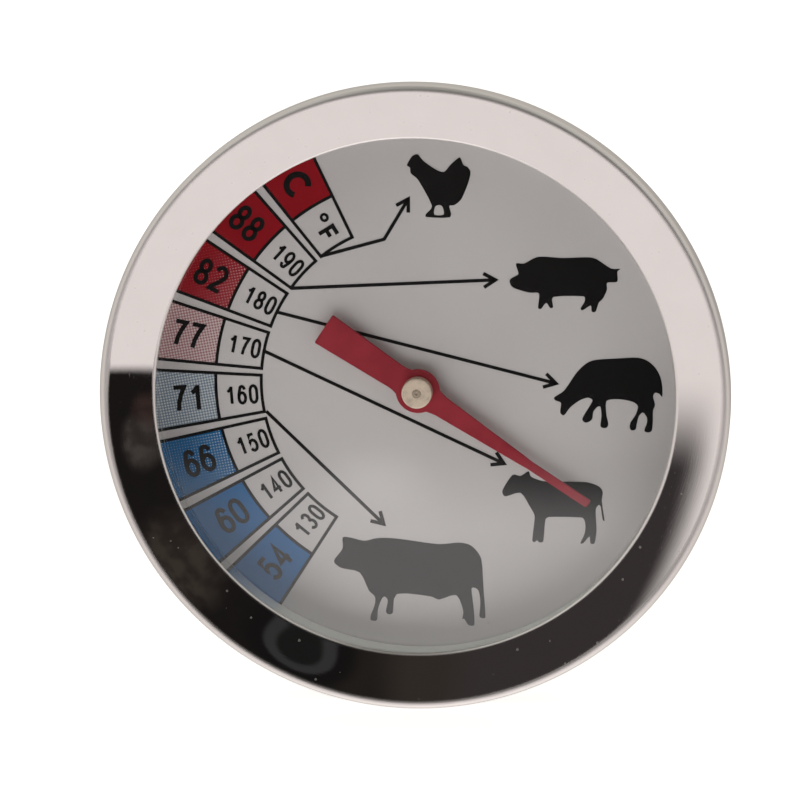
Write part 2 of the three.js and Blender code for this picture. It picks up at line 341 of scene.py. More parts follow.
# Each look is a material and the record finish that it stands for.
POLISHED = polished_steel(), "polished_steel"
BRIGHT = bright_steel(), "polished_steel"
DRAWN = satin_steel("drawn_steel", 0.9, (0.60, 0.585, 0.57), 0.28), "stainless_steel"
GROUND = satin_steel("ground_steel", 0.25, (0.66, 0.645, 0.63), 0.22), "stainless_steel"
SPRING_STEEL = turned_metal("spring_steel", (0.56, 0.45, 0.36), 0.4, 0.6), "stainless_steel"
NICKEL = turned_metal("nickel", (0.82, 0.68, 0.55), 0.36, 0.5), "nickel"
BRASS = turned_metal("brass", (0.72, 0.51, 0.22), 0.26), "brass"
DIAL = dial_paint(), "dial_face"
INK = black_ink(), "dial_face"
PATCH_INK = halftone_ink(), "dial_face"
RED = red_paint(), "pointer_red"
GLASS = clear_glass(), "lens_glass"
GASKET = rubber("gasket_rubber", (0.72, 0.71, 0.68), 0.1), "gasket"
SEAL = rubber("seal_rubber", (0.46, 0.075, 0.035), 0.05), "seal"
BIMETAL = bimetal(), "bimetal"


# ---- Solids ----


def add(name, data):
    """A new object in the scene."""
    made = bpy.data.objects.new(name, data)
    bpy.context.scene.collection.objects.link(made)
    return made


def solid(name, points, faces, look, crease=35):
    """A new object from points in mm, its faces outward and its edges sharper than crease crisp."""
    mesh = bpy.data.meshes.new(name)
    mesh.from_pydata([Vector(p) * MM for p in points], [], faces)
    shell = bmesh.new()
    shell.from_mesh(mesh)
    bmesh.ops.recalc_face_normals(shell, faces=shell.faces)
    shell.to_mesh(mesh)
    shell.free()
    mesh.shade_smooth()
    mesh.set_sharp_from_angle(angle=math.radians(crease))
    mesh.materials.append(look[0])
    piece = add(name, mesh)
    return piece


def rounded(outline, steps=3):
    """A closed outline of (r, s) or (r, s, rounding) corners, each rounded one drawn as an arc.

    A point just beyond each end of an arc keeps the flats beside it shaded flat.
    """
    beyond = 1.5
    made = []
    for i, corner in enumerate(outline):
        here = Vector(corner[:2])
        if len(corner) < 3:
            made.append(tuple(here))
            continue
        before = Vector(outline[i - 1][:2]) - here
        after = Vector(outline[(i + 1) % len(outline)][:2]) - here
        reach = corner[2] / math.tan(before.angle(after) / 2)
        start = here + before.normalized() * reach
        end = here + after.normalized() * reach
        made.append(tuple(here + before.normalized() * min(reach * beyond, before.length / 2)))
        for t in spread(0, 1, steps):
            made.append(tuple(start * (1 - t) ** 2 + here * 2 * t * (1 - t) + end * t ** 2))
        made.append(tuple(here + after.normalized() * min(reach * beyond, after.length / 2)))
    return made


def bands(loops):
    """Faces that join each loop of point numbers to the next; a loop may be one point repeated."""
    faces = []
    for first, second in zip(loops, loops[1:]):
        corners = zip(first, first[1:] + first[:1], second[1:] + second[:1], second)
        faces += [face for face in map(tuple, map(dict.fromkeys, corners)) if len(face) > 2]
    return faces


def turned(profile, segments, limit):
    """Points and faces of a closed (radius, station) outline turned about the stem's axis."""
    on_axis = 1e-6
    points, loops = [], []
    for radius, station in profile:
        if radius < on_axis:
            loops.append([len(points)] * segments)
            points.append((0, -station, 0))
            continue
        loops.append(list(range(len(points), len(points) + segments)))
        for i in range(segments):
            a = TURN * i / segments
            reach = min(radius, limit(a)) if limit else radius
            points.append((reach * math.sin(a), -station, reach * math.cos(a)))
    return points, bands(loops + loops[:1])


def revolve(name, node, look, profile, segments=96, body=HOUSING, limit=None):
    """A turned piece for one CAD node; limit(angle) caps its radius, which cuts flats or teeth."""
    piece = solid(name, *turned(profile, segments, limit), look)
    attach(piece, body)
    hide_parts(node)


def spread(start, end, steps):
    """Evenly spaced values from start to end, both included."""
    return [start + (end - start) * i / steps for i in range(steps + 1)]


def curve(cx, cy, rx, ry, start, end, steps=10):
    """Points on an ellipse, angles in degrees from the first axis towards the second."""
    angles = [math.radians(a) for a in spread(start, end, steps)]
    return [(cx + rx * math.cos(a), cy + ry * math.sin(a)) for a in angles]


# Plain rings: piece, CAD node, look, bore radius, rounding of the edges, segments, and the body
# if it isn't the housing.
RINGS = (
    ("gasket", "lens_gasket", GASKET, 26.5, 0.12, 192),
    ("dial_disc", "dial_plate", DIAL, 1.75, 0.06, 192),
    ("stem", "stem_tube", GROUND, 1.7, 0.06, 96),
    ("seal", "collar_seal", SEAL, 3.5, 0.2, 128),
    ("middle_bush", "middle_bearing", BRASS, 0.5, 0.12, 96),
    ("lower_bush", "lower_bearing", BRASS, 0.5, 0.12, 96),
    ("thrust_ring", "thrust_collar", BRASS, STAFF_BORE, 0.06, 96, POINTER),
)


def make_rings():
    for name, node, look, bore, edge, *rest in RINGS:
        back, front, outer = extent(node)
        corners = ((bore, back), (outer, back), (outer, front), (bore, front))
        profile = rounded([(*corner, edge) for corner in corners])
        revolve(name, node, look, profile, *rest)


# ---- Case, bezel and glass ----

# The dished face of the bezel rises by FACE_SLOPE degrees at the lip and FACE_OUTER_SLOPE at its
# outer edge, which is a bead. CREST_ROOM keeps the highest point of the bead inside the CAD.
LIP_RADIUS = 25.6
LIP_CURL, BACK_CURL, BEAD = 0.24, 0.25, 0.6
FACE_SLOPE, FACE_OUTER_SLOPE = 14, 17.5
CREST_ROOM = 0.02


def bezel_face(lip_front, end_radius):
    """The dished face from the lip outwards, a little steeper towards its outer edge."""
    steps, bend = 24, 1.6
    r, s = LIP_RADIUS + 0.2, lip_front
    step = (end_radius - r) / steps
    points = [(r, s)]
    for i in range(steps):
        share = (i + 0.5) / steps
        slope = FACE_SLOPE + (FACE_OUTER_SLOPE - FACE_SLOPE) * share ** bend
        r += step
        s += step * math.tan(math.radians(slope))
        points.append((r, s))
    return points


def make_bezel():
    """One rolled sheet: lip, dished face, bead, skirt, and a curl behind the case's flange."""
    back, _, radius = extent("bezel")
    lens_front = extent("lens")[1]
    lip_front = lens_front + SHEET - CREST_ROOM
    tilt = math.radians(90 + FACE_OUTER_SLOPE)
    bead_r = radius - BEAD
    face = bezel_face(lip_front, bead_r + BEAD * math.cos(tilt))
    bead_s = face[-1][1] - BEAD * math.sin(tilt)
    skirt, curl_r = radius - SHEET, radius - 2 + BACK_CURL
    profile = [
        *curve(LIP_RADIUS + LIP_CURL, lip_front - LIP_CURL, LIP_CURL, LIP_CURL, 250, 104, 9),
        *face,
        *curve(bead_r, bead_s, BEAD, BEAD, 84 + FACE_OUTER_SLOPE, 0, 16),
        *curve(skirt, back + SHEET, SHEET, SHEET, 0, -90, 6),
        *curve(curl_r, back + BACK_CURL, BACK_CURL, BACK_CURL, 270, 90, 6),
        (skirt - 0.1, back + SHEET), (skirt, back + SHEET + 0.1), (skirt, bead_s),
        (29.6, lip_front + 0.45), (LIP_RADIUS + 0.4, lens_front),
    ]
    revolve("bezel_rim", "bezel", POLISHED, profile, 360)


def make_case():
    """The drawn cup: recess round its hole, drum, shoulder that carries the dial, wall, flange."""
    back, front, flange = extent("case")
    hole, recess, drum, wall = 3.6, 6, 25, 28
    shoulder = extent("dial_plate")[0] - SHEET
    floor = extent("collar_seal")[1]
    profile = rounded([
        (hole, floor), (recess, floor, 0.5), (recess + 0.5, back, 0.35), (drum, back, 2),
        (drum, shoulder, 0.35), (wall, shoulder, 0.8), (wall, front - SHEET, 0.3),
        (flange, front - SHEET, 0.2), (flange, front, 0.2), (wall - SHEET, front, 0.5),
        (wall - SHEET, shoulder + SHEET, 0.3), (drum - SHEET, shoulder + SHEET, 0.3),
        (drum - SHEET, back + SHEET, 1.5), (recess + 0.6, back + SHEET, 0.3),
        (recess, floor + SHEET, 0.3), (hole, floor + SHEET),
    ], 6)
    revolve("case_shell", "case", DRAWN, profile, 256)


def make_spacer():
    back, front, outer = extent("spacer_ring")
    bevel = 0.03
    profile = [
        (outer - bevel, back), (outer, back + bevel), (outer, front - bevel),
        (outer - bevel, front), (SPACER_INNER + bevel, front), (SPACER_INNER, front - bevel),
        (SPACER_INNER, back + bevel), (SPACER_INNER + bevel, back),
    ]
    revolve("spacer", "spacer_ring", BRIGHT, profile, 256)


def make_lens():
    back, front, radius = extent("lens")
    profile = rounded([(0, back), (radius, back, 0.15), (radius, front, 0.15), (0, front)], 2)
    revolve("lens_pane", "lens", GLASS, profile, 192)


# ---- Printed dial ----


class Print:
    """Thin areas of ink laid over the dial at a height in mm, gathered into one object."""

    THICKNESS = 0.012

    def __init__(self, name, look, height):
        self.name, self.look = name, look
        self.back = DIAL_FACE + height
        self.points, self.faces = [], []

    def area(self, loops):
        """An area bounded by loops of (x, z) points: the first is the outline, the rest holes."""
        flat = [p for loop in loops for p in loop]
        triangles = tessellate_polygon([[Vector((x, z, 0)) for x, z in loop] for loop in loops])
        start, count = len(self.points), len(flat)
        for station in (self.back, self.back + self.THICKNESS):
            self.points += [(x, -station, z) for x, z in flat]
        for a, b, c in triangles:
            self.faces.append((start + a, start + b, start + c))
            self.faces.append((start + count + c, start + count + b, start + count + a))
        for loop in loops:
            rim = list(range(start, start + len(loop)))
            self.faces += bands([rim, [n + count for n in rim]])
            start += len(loop)

    def line(self, points, width, closed=False):
        """A line of the given width, its corners mitred unless they are sharp."""
        bluntest = 0.4
        left, right = [], []
        last = len(points) - 1
        for i, point in enumerate(points):
            here = Vector(point)
            before = here - Vector(points[i - 1]) if closed or i > 0 else None
            after = Vector(points[(i + 1) % len(points)]) - here if closed or i < last else None
            before = (before or after).normalized()
            after = (after or before).normalized()
            along = (before + after).normalized()
            side = Vector((-along.y, along.x)) * (width / 2 / max(bluntest, along.dot(before)))
            left.append(tuple(here + side))
            right.append(tuple(here - side))
        if closed:
            self.area([left, right] if loop_area(left) > loop_area(right) else [right, left])
        else:
            self.area([left + right[::-1]])

    def finish(self):
        piece = solid(self.name, self.points, self.faces, self.look)
        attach(piece, HOUSING)
        return piece


def loop_area(points):
    pairs = zip(points, points[1:] + points[:1])
    return abs(sum(ax * bz - bx * az for (ax, az), (bx, bz) in pairs)) / 2


def polar(angle, radius):
    """A point at a clockwise angle in degrees from the top, about the print's centre."""
    a = math.radians(angle)
    return PRINT_CENTRE[0] + radius * math.sin(a), PRINT_CENTRE[1] + radius * math.cos(a)


def to_rim(angle):
    """Radius about the print's centre at which a ray meets the spacer ring."""
    a = math.radians(angle)
    along = PRINT_CENTRE[0] * math.sin(a) + PRINT_CENTRE[1] * math.cos(a)
    off = PRINT_CENTRE[0] ** 2 + PRINT_CENTRE[1] ** 2
    rim = SPACER_INNER - RIM_GAP
    return -along + math.sqrt(along ** 2 - off + rim ** 2)


# The scale: angles of its cells in degrees, radii of its inner edge and of the divider between
# the Celsius patches and the Fahrenheit numbers, and the widths of its lines and arrows.
FIRST_CELL, CELL_PITCH, CELL_WIDTH = 218.9, 15.54, 13.1
DIVIDER, CELL_INNER = 20.72, 16.16
RIM_GAP = 0.02
LINE, SHAFT, BARB = 0.31, 0.34, 0.36
BARB_LENGTH, BARB_TURN = 1.35, 31

# Each cell: Celsius number, Fahrenheit number, ink, ground, and how much of the patch the ink
# covers from two thirds of the way out, and at the divider. The last cell holds the units.
DEEP_BLUE = (0.012, 0.14, 0.375)
MID_BLUE = (0.008, 0.13, 0.34)
PALE_BLUE = (0.2, 0.26, 0.34)
ROSE = (0.4, 0.2, 0.22)
CRIMSON = (0.29, 0.004, 0.011)
CELLS = (
    ("54", "130", DEEP_BLUE, (0.3, 0.4, 0.5), 1.25, 1.25),
    ("60", "140", DEEP_BLUE, (0.3, 0.42, 0.52), 1.25, 0.95),
    ("66", "150", MID_BLUE, (0.85, 0.95, 1), 0.95, 0.78),
    ("71", "160", PALE_BLUE, (0.59, 0.63, 0.67), 0.56, 0.5),
    ("77", "170", ROSE, (0.7, 0.56, 0.56), 0.55, 0.46),
    ("82", "180", CRIMSON, (1, 0.6, 0.66), 0.99, 0.78),
    ("88", "190", CRIMSON, (0.5, 0.2, 0.2), 1.25, 1.25),
    ("", "", CRIMSON, (0.5, 0.2, 0.2), 1.25, 1.25),
)
# Radii of the Celsius numbers: two are printed nearer the rim than the others.
CELSIUS_RADIUS = 23.6
NEARER_RIM = {"66": 23.9, "77": 23.95}
FAHRENHEIT_RADIUS = 18.15
# Lettering: height, width, pitch and stroke.
CELSIUS, FAHRENHEIT = (2.85, 1.5, 1.7, 0.44), (2, 0.96, 1.16, 0.3)
# Signs of the units: text, radius and lettering.
UNITS = (
    ("C", 23.5, (2.8, 2.1, 0, 0.6)),
    ("o", 19.1, (2, 1.2, 0, 0.28)),
    ("F", 17.6, (2, 1.3, 0, 0.4)),
)


def cell_angles(k):
    middle = FIRST_CELL + k * CELL_PITCH
    return middle - CELL_WIDTH / 2, middle, middle + CELL_WIDTH / 2


def make_patches():
    """The coloured part of every cell, from the divider out to the spacer ring."""
    patches = Print("scale_patches", PATCH_INK, 0.002)
    tags, shares = [], spread(0, 1, 4)
    for k, (_, _, ink, ground, rim_cover, inner_cover) in enumerate(CELLS):
        start, _, end = cell_angles(k)
        angles = spread(start, end, 12)
        rows = [
            [polar(a, DIVIDER + (to_rim(a) - DIVIDER) * share) for a in angles] for share in shares
        ]
        covers = [inner_cover + (rim_cover - inner_cover) * min(1, s * 1.5) for s in shares]
        for i in range(len(rows) - 1):
            patches.area([rows[i] + rows[i + 1][::-1]])
            tags += 2 * [(ink, ground, cover) for cover in covers[i:i + 2] for _ in angles]
    piece = patches.finish()
    for k, name in enumerate(("ink", "ground")):
        tints = piece.data.attributes.new(name, "FLOAT_COLOR", "POINT")
        tints.data.foreach_set("color", [value for tag in tags for value in (*tag[k], 1)])
    covers = piece.data.attributes.new("cover", "FLOAT", "POINT")
    covers.data.foreach_set("value", [tag[2] for tag in tags])


def make_cell_lines():
    """Outlines of the cells and the dividers across them."""
    lines = Print("scale_lines", INK, 0.016)
    inset = math.degrees(LINE / 2 / DIVIDER)
    for k in range(len(CELLS)):
        start, _, end = cell_angles(k)
        angles = spread(start, end, 6)
        inner = [polar(a, CELL_INNER) for a in angles]
        lines.line([polar(start, to_rim(start)), *inner, polar(end, to_rim(end))], LINE)
        divider = [start + inset, *angles[1:-1], end - inset]
        lines.line([polar(a, DIVIDER) for a in divider], LINE)
    lines.finish()


# Arrows from the scale to the animals: corners of each, its tip last.
ARROWS = (
    ((-9.78, 13.15), (-3.47, 14.93), (-1.09, 18.96)),
    ((-12.76, 9.91), (7.55, 11.01)),
    ((-14.1, 7.49), (13.6, 0.74)),
    ((-15.51, 3.59), (8.47, -7.42)),
    ((-15.29, -2.51), (-3.54, -13.76)),
)


def make_arrows():
    arrows = Print("arrows", INK, 0.018)
    for path in ARROWS:
        arrows.line(path, SHAFT)
        tip = Vector(path[-1])
        back = (Vector(path[-2]) - tip).normalized() * BARB_LENGTH
        barbs = [tip + Matrix.Rotation(math.radians(turn), 2) @ back
                 for turn in (BARB_TURN, -BARB_TURN)]
        arrows.line([tuple(barbs[0]), tuple(tip), tuple(barbs[1])], BARB)
    arrows.finish()


def glyphs():
    """Signs in a box 1 wide and 2 high: the points of each stroke, and whether it is closed."""
    back_of_six = [(0.1, 1.3), (0.01, 0.95), (0, 0.62)]
    six = [
        (curve(0.5, 0.62, 0.5, 0.62, 0, 340, 18), True),
        (curve(0.53, 1.42, 0.42, 0.58, 18, 125, 6) + back_of_six, False),
    ]
    nine = [([(1 - x, 2 - y) for x, y in path], closed) for path, closed in six]
    flag_of_one = [(0.6, 1.86), (0.42, 1.62), (0.1, 1.42)]
    foot_of_two = [(0.5, 0.62), (0.1, 0.2), (0.02, 0.02), (1, 0.02)]
    stem_of_five = [(0.92, 1.96), (0.22, 1.96), (0.08, 1)]
    return {
        "0": [
            (curve(0.5, 1.35, 0.5, 0.65, 0, 180) + curve(0.5, 0.65, 0.5, 0.65, 180, 360), True),
        ],
        "1": [([(0.66, 0), (0.66, 2.04)], False), (flag_of_one, False)],
        "2": [(curve(0.5, 1.45, 0.48, 0.55, 165, -32) + foot_of_two, False)],
        "3": [
            (curve(0.47, 1.5, 0.42, 0.5, 155, -90), False),
            (curve(0.47, 0.52, 0.52, 0.52, 90, -155), False),
        ],
        "4": [([(0.72, 0), (0.72, 1.96), (0, 0.6), (1.06, 0.6)], False)],
        "5": [(stem_of_five + curve(0.48, 0.64, 0.52, 0.64, 138, -150), False)],
        "6": six,
        "7": [([(0, 1.94), (1, 1.94), (0.66, 1.3), (0.44, 0.65), (0.36, 0)], False)],
        "8": [
            (curve(0.5, 1.5, 0.42, 0.48, 0, 345, 18), True),
            (curve(0.5, 0.51, 0.5, 0.51, 0, 345, 18), True),
        ],
        "9": nine,
        "C": [(curve(0.62, 1, 0.68, 1, 48, 312, 18), False)],
        "o": [(curve(0.42, 1.62, 0.36, 0.36, 0, 330, 12), True)],
        "F": [([(0, 0), (0, 1.97), (1.05, 1.97)], False), ([(0, 1.02), (0.9, 1.02)], False)],
    }


GLYPHS = glyphs()


def write(lettering, text, angle, radius, height, width, pitch, stroke):
    """Text centred on a ray of the scale, reading inwards, its top turned clockwise."""
    a = math.radians(angle)
    across = Vector((-math.sin(a), -math.cos(a)))
    up = Vector((math.cos(a), -math.sin(a)))
    middle = Vector(polar(angle, radius))
    inner_width, inner_height = width - stroke, height - stroke
    for i, sign in enumerate(text):
        left = (i - (len(text) - 1) / 2) * pitch - inner_width / 2
        for path, closed in GLYPHS[sign]:
            spots = [(left + x * inner_width, (y / 2 - 0.5) * inner_height) for x, y in path]
            placed = [tuple(middle + across * x + up * y) for x, y in spots]
            lettering.line(placed, stroke, closed)


def make_numbers():
    numbers = Print("scale_numbers", INK, 0.02)
    for k, (celsius, fahrenheit, *_) in enumerate(CELLS):
        middle = cell_angles(k)[1]
        if not celsius:
            for sign, radius, lettering in UNITS:
                write(numbers, sign, middle, radius, *lettering)
            continue
        write(numbers, celsius, middle, NEARER_RIM.get(celsius, CELSIUS_RADIUS), *CELSIUS)
        write(numbers, fahrenheit, middle, FAHRENHEIT_RADIUS, *FAHRENHEIT)
    numbers.finish()


# Side views of the animals, facing left: outlines in tenths of a mm from a corner on the dial.
CHICKEN = (
    (0, 52), (5, 61), (11, 63), (16, 57), (29, 48), (37, 46), (43, 53), (51, 60), (53, 60),
    (56, 53), (60, 51), (63, 46), (61, 36), (54, 19), (47, 13), (42, 12), (43, 1), (19, 1),
    (19, 4), (25, 12), (11, 38), (4, 44), (3, 50),
)
CHICKEN_LEGS = ((28, 11), (32, 13), (35.5, 11), (36.4, 3.4), (27.3, 3.4))
PIG = (
    (0, 31), (8, 36), (8, 39), (6, 47), (14, 47), (28, 54), (51, 53), (77, 54), (86, 52),
    (100, 43), (109, 43), (106, 40), (106, 30), (96, 29), (96, 22), (92, 13), (88, 9), (85, 0),
    (81, 0), (80, 6), (72, 1), (70, 3), (74, 10), (73, 15), (43, 14), (43, 4), (40, 3), (36, 8),
    (31, 2), (28, 3), (29, 13), (28, 18), (19, 18), (5, 22), (1, 25),
)
SHEEP = (
    (0, 34), (10, 41), (22, 59), (31, 68), (40, 72), (64, 74), (82, 75), (92, 72), (100, 65),
    (105, 56), (107, 46), (107, 36), (104, 39), (100, 40), (98, 36), (100, 28), (98, 22),
    (98, 11), (97, 2), (94, 0), (90, 1), (90, 4), (92, 9), (92, 15), (88, 20), (84, 16), (82, 8),
    (81, 3), (77, 2), (75, 5), (76, 10), (81, 18), (83, 26), (79, 30), (72, 32), (63, 33), (52, 31),
    (52, 17), (54, 8), (52, 4), (48, 4), (46, 6), (47, 16), (46, 25), (43, 25), (39, 20), (38, 13),
    (35, 10), (31, 9), (28, 12), (30, 17), (36, 27), (38, 32), (33, 34), (25, 31), (16, 24),
    (10, 16), (6, 19), (7, 28), (4, 30), (1, 31),
)
CALF = (
    (0, 52), (10, 68), (18, 67), (26, 72), (28, 67), (34, 64), (42, 62), (82, 62), (91, 60),
    (97, 57), (100, 52), (99, 43), (102, 23), (100, 24), (98, 37), (96, 39), (93, 34), (94, 13),
    (92, 0), (88, 0), (87, 7), (81, 0), (78, 0), (82, 9), (83, 17), (82, 23), (79, 26), (47, 26),
    (43, 23), (41, 1), (37, 0), (35, 2), (32, 0), (30, 2), (32, 21), (32, 28), (27, 37),
    (18, 50), (3, 46),
)
COW = (
    (1, 65), (9, 76), (9, 87), (17, 87), (31, 84), (43, 87), (62, 87), (104, 82), (124, 84),
    (135, 82), (142, 76), (147, 67), (149, 38), (151, 9), (148, 8), (145, 10), (146, 24),
    (144, 36), (139, 39), (137, 37), (139, 20), (140, 1), (134, 1), (130, 7), (128, 7),
    (129, 15), (122, 31), (105, 26), (97, 29), (63, 31), (59, 12), (55, 10), (52, 13), (54, 24),
    (51, 28), (48, 26), (44, 15), (43, 4), (37, 4), (37, 9), (41, 20), (41, 28), (35, 34),
    (26, 52), (8, 56), (1, 61),
)
# Each picture: its loops, the corner they are drawn from, and its scale.
ANIMALS = (
    ((CHICKEN, CHICKEN_LEGS), (-1.23, 17.1), 1),
    ((PIG,), (8.99, 7.98), 1),
    ((SHEEP,), (13.43, -4.06), 1),
    ((CALF,), (8.33, -15.35), 1),
    ((COW,), (-8.57, -24), 1.01),
)


def softened(points, steps=3, pull=0.42):
    """A smooth closed loop through the points, its bends kept fairly tight."""
    made = []
    for i in range(len(points)):
        a, b, c, d = (Vector(points[(i + k) % len(points)]) for k in (-1, 0, 1, 2))
        leave, arrive = (c - a) * pull, (d - b) * pull
        longest = (c - b).length
        for tangent in (leave, arrive):
            if tangent.length > longest:
                tangent.length = longest
        for t in spread(0, 1, steps)[:-1]:
            made.append(
                b * (2 * t ** 3 - 3 * t ** 2 + 1) + leave * (t ** 3 - 2 * t ** 2 + t)
                + c * (3 * t ** 2 - 2 * t ** 3) + arrive * (t ** 3 - t ** 2)
            )
    return made


def make_animals():
    animals = Print("animal_pictures", INK, 0.014)
    for loops, corner, size in ANIMALS:
        animals.area([
            [tuple(Vector(corner) + p * size / 10) for p in softened(loop)] for loop in loops
        ])
    animals.finish()


# ---- Pointer assembly ----

# Lengths and half widths of the blade. It tapers from its boss to its neck, and is one width
# from there to the tip. The tail widens to a square end.
POINTER_LENGTH, NECK, TAIL_LENGTH = 20.3, 13.1, 11.2
TIP_HALF, ROOT_HALF = 0.43, 1.08
TAIL_ROOT_HALF, TAIL_END_HALF = 1.27, 1.67
BOSS_RADIUS, BOSS_FILLET = 2.2, 0.9
BLADE_HOLE = 1.02


def blade_outline(inset):
    """The blade as (across, along) points, drawn pointing up, shrunk inwards by inset."""
    corner = 0.12
    boss, root, tail_root = BOSS_RADIUS - inset, ROOT_HALF - inset, TAIL_ROOT_HALF - inset
    tip, tail_end = TIP_HALF - inset, TAIL_END_HALF - inset
    top, bottom = POINTER_LENGTH - inset, inset - TAIL_LENGTH
    root_start = math.sqrt(boss ** 2 - root ** 2)
    tail_start = math.sqrt(boss ** 2 - tail_root ** 2)
    first = math.degrees(math.atan2(root_start, root)) - 6
    last = math.degrees(math.atan2(tail_start, tail_root)) - 6
    half = [
        (0, top), (tip - corner, top), (tip, top - 0.15),
        (tip, NECK + 0.5), (tip + 0.01, NECK), (tip + 0.06, NECK - 0.5),
        (root - 0.03, root_start + BOSS_FILLET), (root + 0.06, root_start + BOSS_FILLET / 2.4),
        *curve(0, 0, boss, boss, first, -last, 16),
        (tail_root + 0.05, -tail_start - BOSS_FILLET / 2.4),
        (tail_root + 0.02, -tail_start - BOSS_FILLET),
        (tail_end, bottom + corner), (tail_end - corner, bottom), (0, bottom),
    ]
    return half + [(-x, y) for x, y in half[-2:0:-1]]


def make_blade():
    """A stamped blade: broken edges, and a hole that fits the hub's barrel."""
    back, front = extent("pointer")[:2]
    edge, hole_steps = 0.07, 48
    a = math.radians(REST_ANGLE)
    hole = curve(0, 0, BLADE_HOLE, BLADE_HOLE, 0, 360 * (1 - 1 / hole_steps), hole_steps - 1)
    rows = [(blade_outline(edge), back), (blade_outline(0), back + edge),
            (blade_outline(0), front - edge), (blade_outline(edge), front),
            (hole, back), (hole, front)]
    points, loops = [], []
    for outline, station in rows:
        loops.append(list(range(len(points), len(points) + len(outline))))
        for across, along in outline:
            x = across * math.cos(a) + along * math.sin(a)
            z = -across * math.sin(a) + along * math.cos(a)
            points.append((x, -station, z))
    faces = bands(loops[:4]) + bands(loops[4:])
    for rim, bore in ((loops[0], loops[4]), (loops[3], loops[5])):
        members = rim + bore
        flat = [Vector((points[i][0], points[i][2], 0)) for i in members]
        cap = tessellate_polygon([flat[:len(rim)], flat[len(rim):]])
        faces += [tuple(members[i] for i in triangle) for triangle in cap]
    piece = solid("pointer_blade", points, faces, RED, 25)
    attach(piece, POINTER)
    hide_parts("pointer")


def make_hub():
    """A rivet through the blade: foot behind it, barrel in its hole, head in front."""
    back, front = extent("pointer_hub")[:2]
    blade_back, blade_front = extent("pointer")[:2]
    foot, barrel, head = 1.4, 1, 1.5
    profile = rounded([
        (STAFF_BORE, back), (foot, back, 0.08), (foot, blade_back, 0.08), (barrel, blade_back),
        (barrel, blade_front), (head, blade_front, 0.06), (head, front, 0.16),
        (STAFF_BORE, front, 0.02),
    ], 5)
    revolve("hub", "pointer_hub", NICKEL, profile, 128, POINTER)


def make_staff():
    """The staff: a ground rod whose front end is dimpled by its lathe centre."""
    back, front, radius = extent("staff")
    profile = rounded([
        (0, back), (radius, back, 0.08), (radius, front - 0.05, 0.04), (0.2, front - 0.02),
        (0.07, front - 0.12), (0, front - 0.13),
    ])
    revolve("staff_pin", "staff", SPRING_STEEL, profile, 64, POINTER)


def make_arbor():
    back, front, radius = extent("coil_arbor")
    floor = extent("staff")[0]
    profile = rounded([
        (0, back), (radius, back, 0.12), (radius, front, 0.12), (STAFF_BORE, front),
        (STAFF_BORE, floor), (0, floor),
    ])
    revolve("coil_arbor_body", "coil_arbor", BRASS, profile, body=POINTER)


# ---- Stem, bearings and screwed joint ----


def make_tip():
    """The pointed plug: a long taper to a small flat, with a shallow swaged groove at its root."""
    back, front, radius = extent("stem_tip")
    point, root = 0.6, extent("stem_tube")[0]
    profile = rounded([
        (0, back), (point, back, 0.12), (radius, root - 0.05), (radius - 0.04, root),
        (STEM_BORE, root), (STEM_BORE, front, 0.12), (0, front),
    ], 4)
    revolve("stem_point", "stem_tip", GROUND, profile)


HEX_CORNER = 5.2
HEX_FLAT = HEX_CORNER * math.cos(math.pi / 6)


def hexagon(a):
    """Radius of the hexagons at an angle from one of their corners."""
    return HEX_FLAT / math.cos((a - math.pi / 2) % (math.pi / 3) - math.pi / 6)


def chamfered(back, front, rise, slope):
    """The outside of a hexagon whose corners fall away by rise at both of its ends."""
    edge = [(HEX_FLAT + (HEX_CORNER - HEX_FLAT) * t, rise * t ** 1.5) for t in slope]
    return [(r, back + s) for r, s in edge] + [(r, front - s) for r, s in reversed(edge)]


def make_collar():
    """The stem's collar: a hexagon with chamfered corners and a barrel through the case."""
    back, front = extent("stem_collar")[:2]
    hex_front = extent("collar_seal")[0]
    bore, barrel = 2.05, 3.4
    profile = [
        (bore, back + 0.2), (bore + 0.2, back), (HEX_FLAT - 0.5, back),
        *chamfered(back, hex_front, 0.42, (0, 0.3, 0.6, 0.85, 1)),
        (barrel, hex_front), (barrel, front - 0.2), (barrel - 0.2, front), (bore, front),
    ]
    revolve("collar_hex", "stem_collar", GROUND, profile, 144, limit=hexagon)


def make_nut():
    back, front = extent("collar_nut")[:2]
    bore, countersink = 3.45, 0.15
    profile = [
        (bore, back + countersink), (bore + countersink, back),
        *chamfered(back, front, 0.35, (0, 0.35, 0.7, 1)),
        (bore + countersink, front), (bore, front - countersink),
    ]
    revolve("nut", "collar_nut", BRASS, profile, 144, limit=hexagon)


def make_washer():
    """A lock washer whose pointed teeth thin out towards their ends."""
    teeth, bore, root, outer = 12, 3.5, 4.7, 5.6
    middle, half, tooth_half = sum(extent("lock_washer")[:2]) / 2, 0.2, 0.12

    def toothed(a):
        phase = abs((a * teeth / TURN) % 1 - 0.5) * 2
        return root + (outer - root) * phase ** 0.8

    edge = ((bore, half), (root, half), (outer, tooth_half))
    profile = [(r, middle - s) for r, s in edge] + [(r, middle + s) for r, s in reversed(edge)]
    revolve("tooth_washer", "lock_washer", SPRING_STEEL, profile, 288, limit=toothed)


def make_upper_bearing():
    """A flanged bush, pressed into the top of the stem."""
    back, front = extent("upper_bearing")[:2]
    top = extent("stem_tube")[1]
    bore, neck, flange, flange_front = 0.5, 1.6, 2, top + 0.6
    profile = rounded([
        (bore, back), (STEM_BORE, back, 0.15), (STEM_BORE, top), (flange, top, 0.05),
        (flange, flange_front, 0.1), (neck, flange_front), (neck, front, 0.15), (bore, front, 0.1),
    ])
    revolve("upper_bush", "upper_bearing", BRASS, profile)


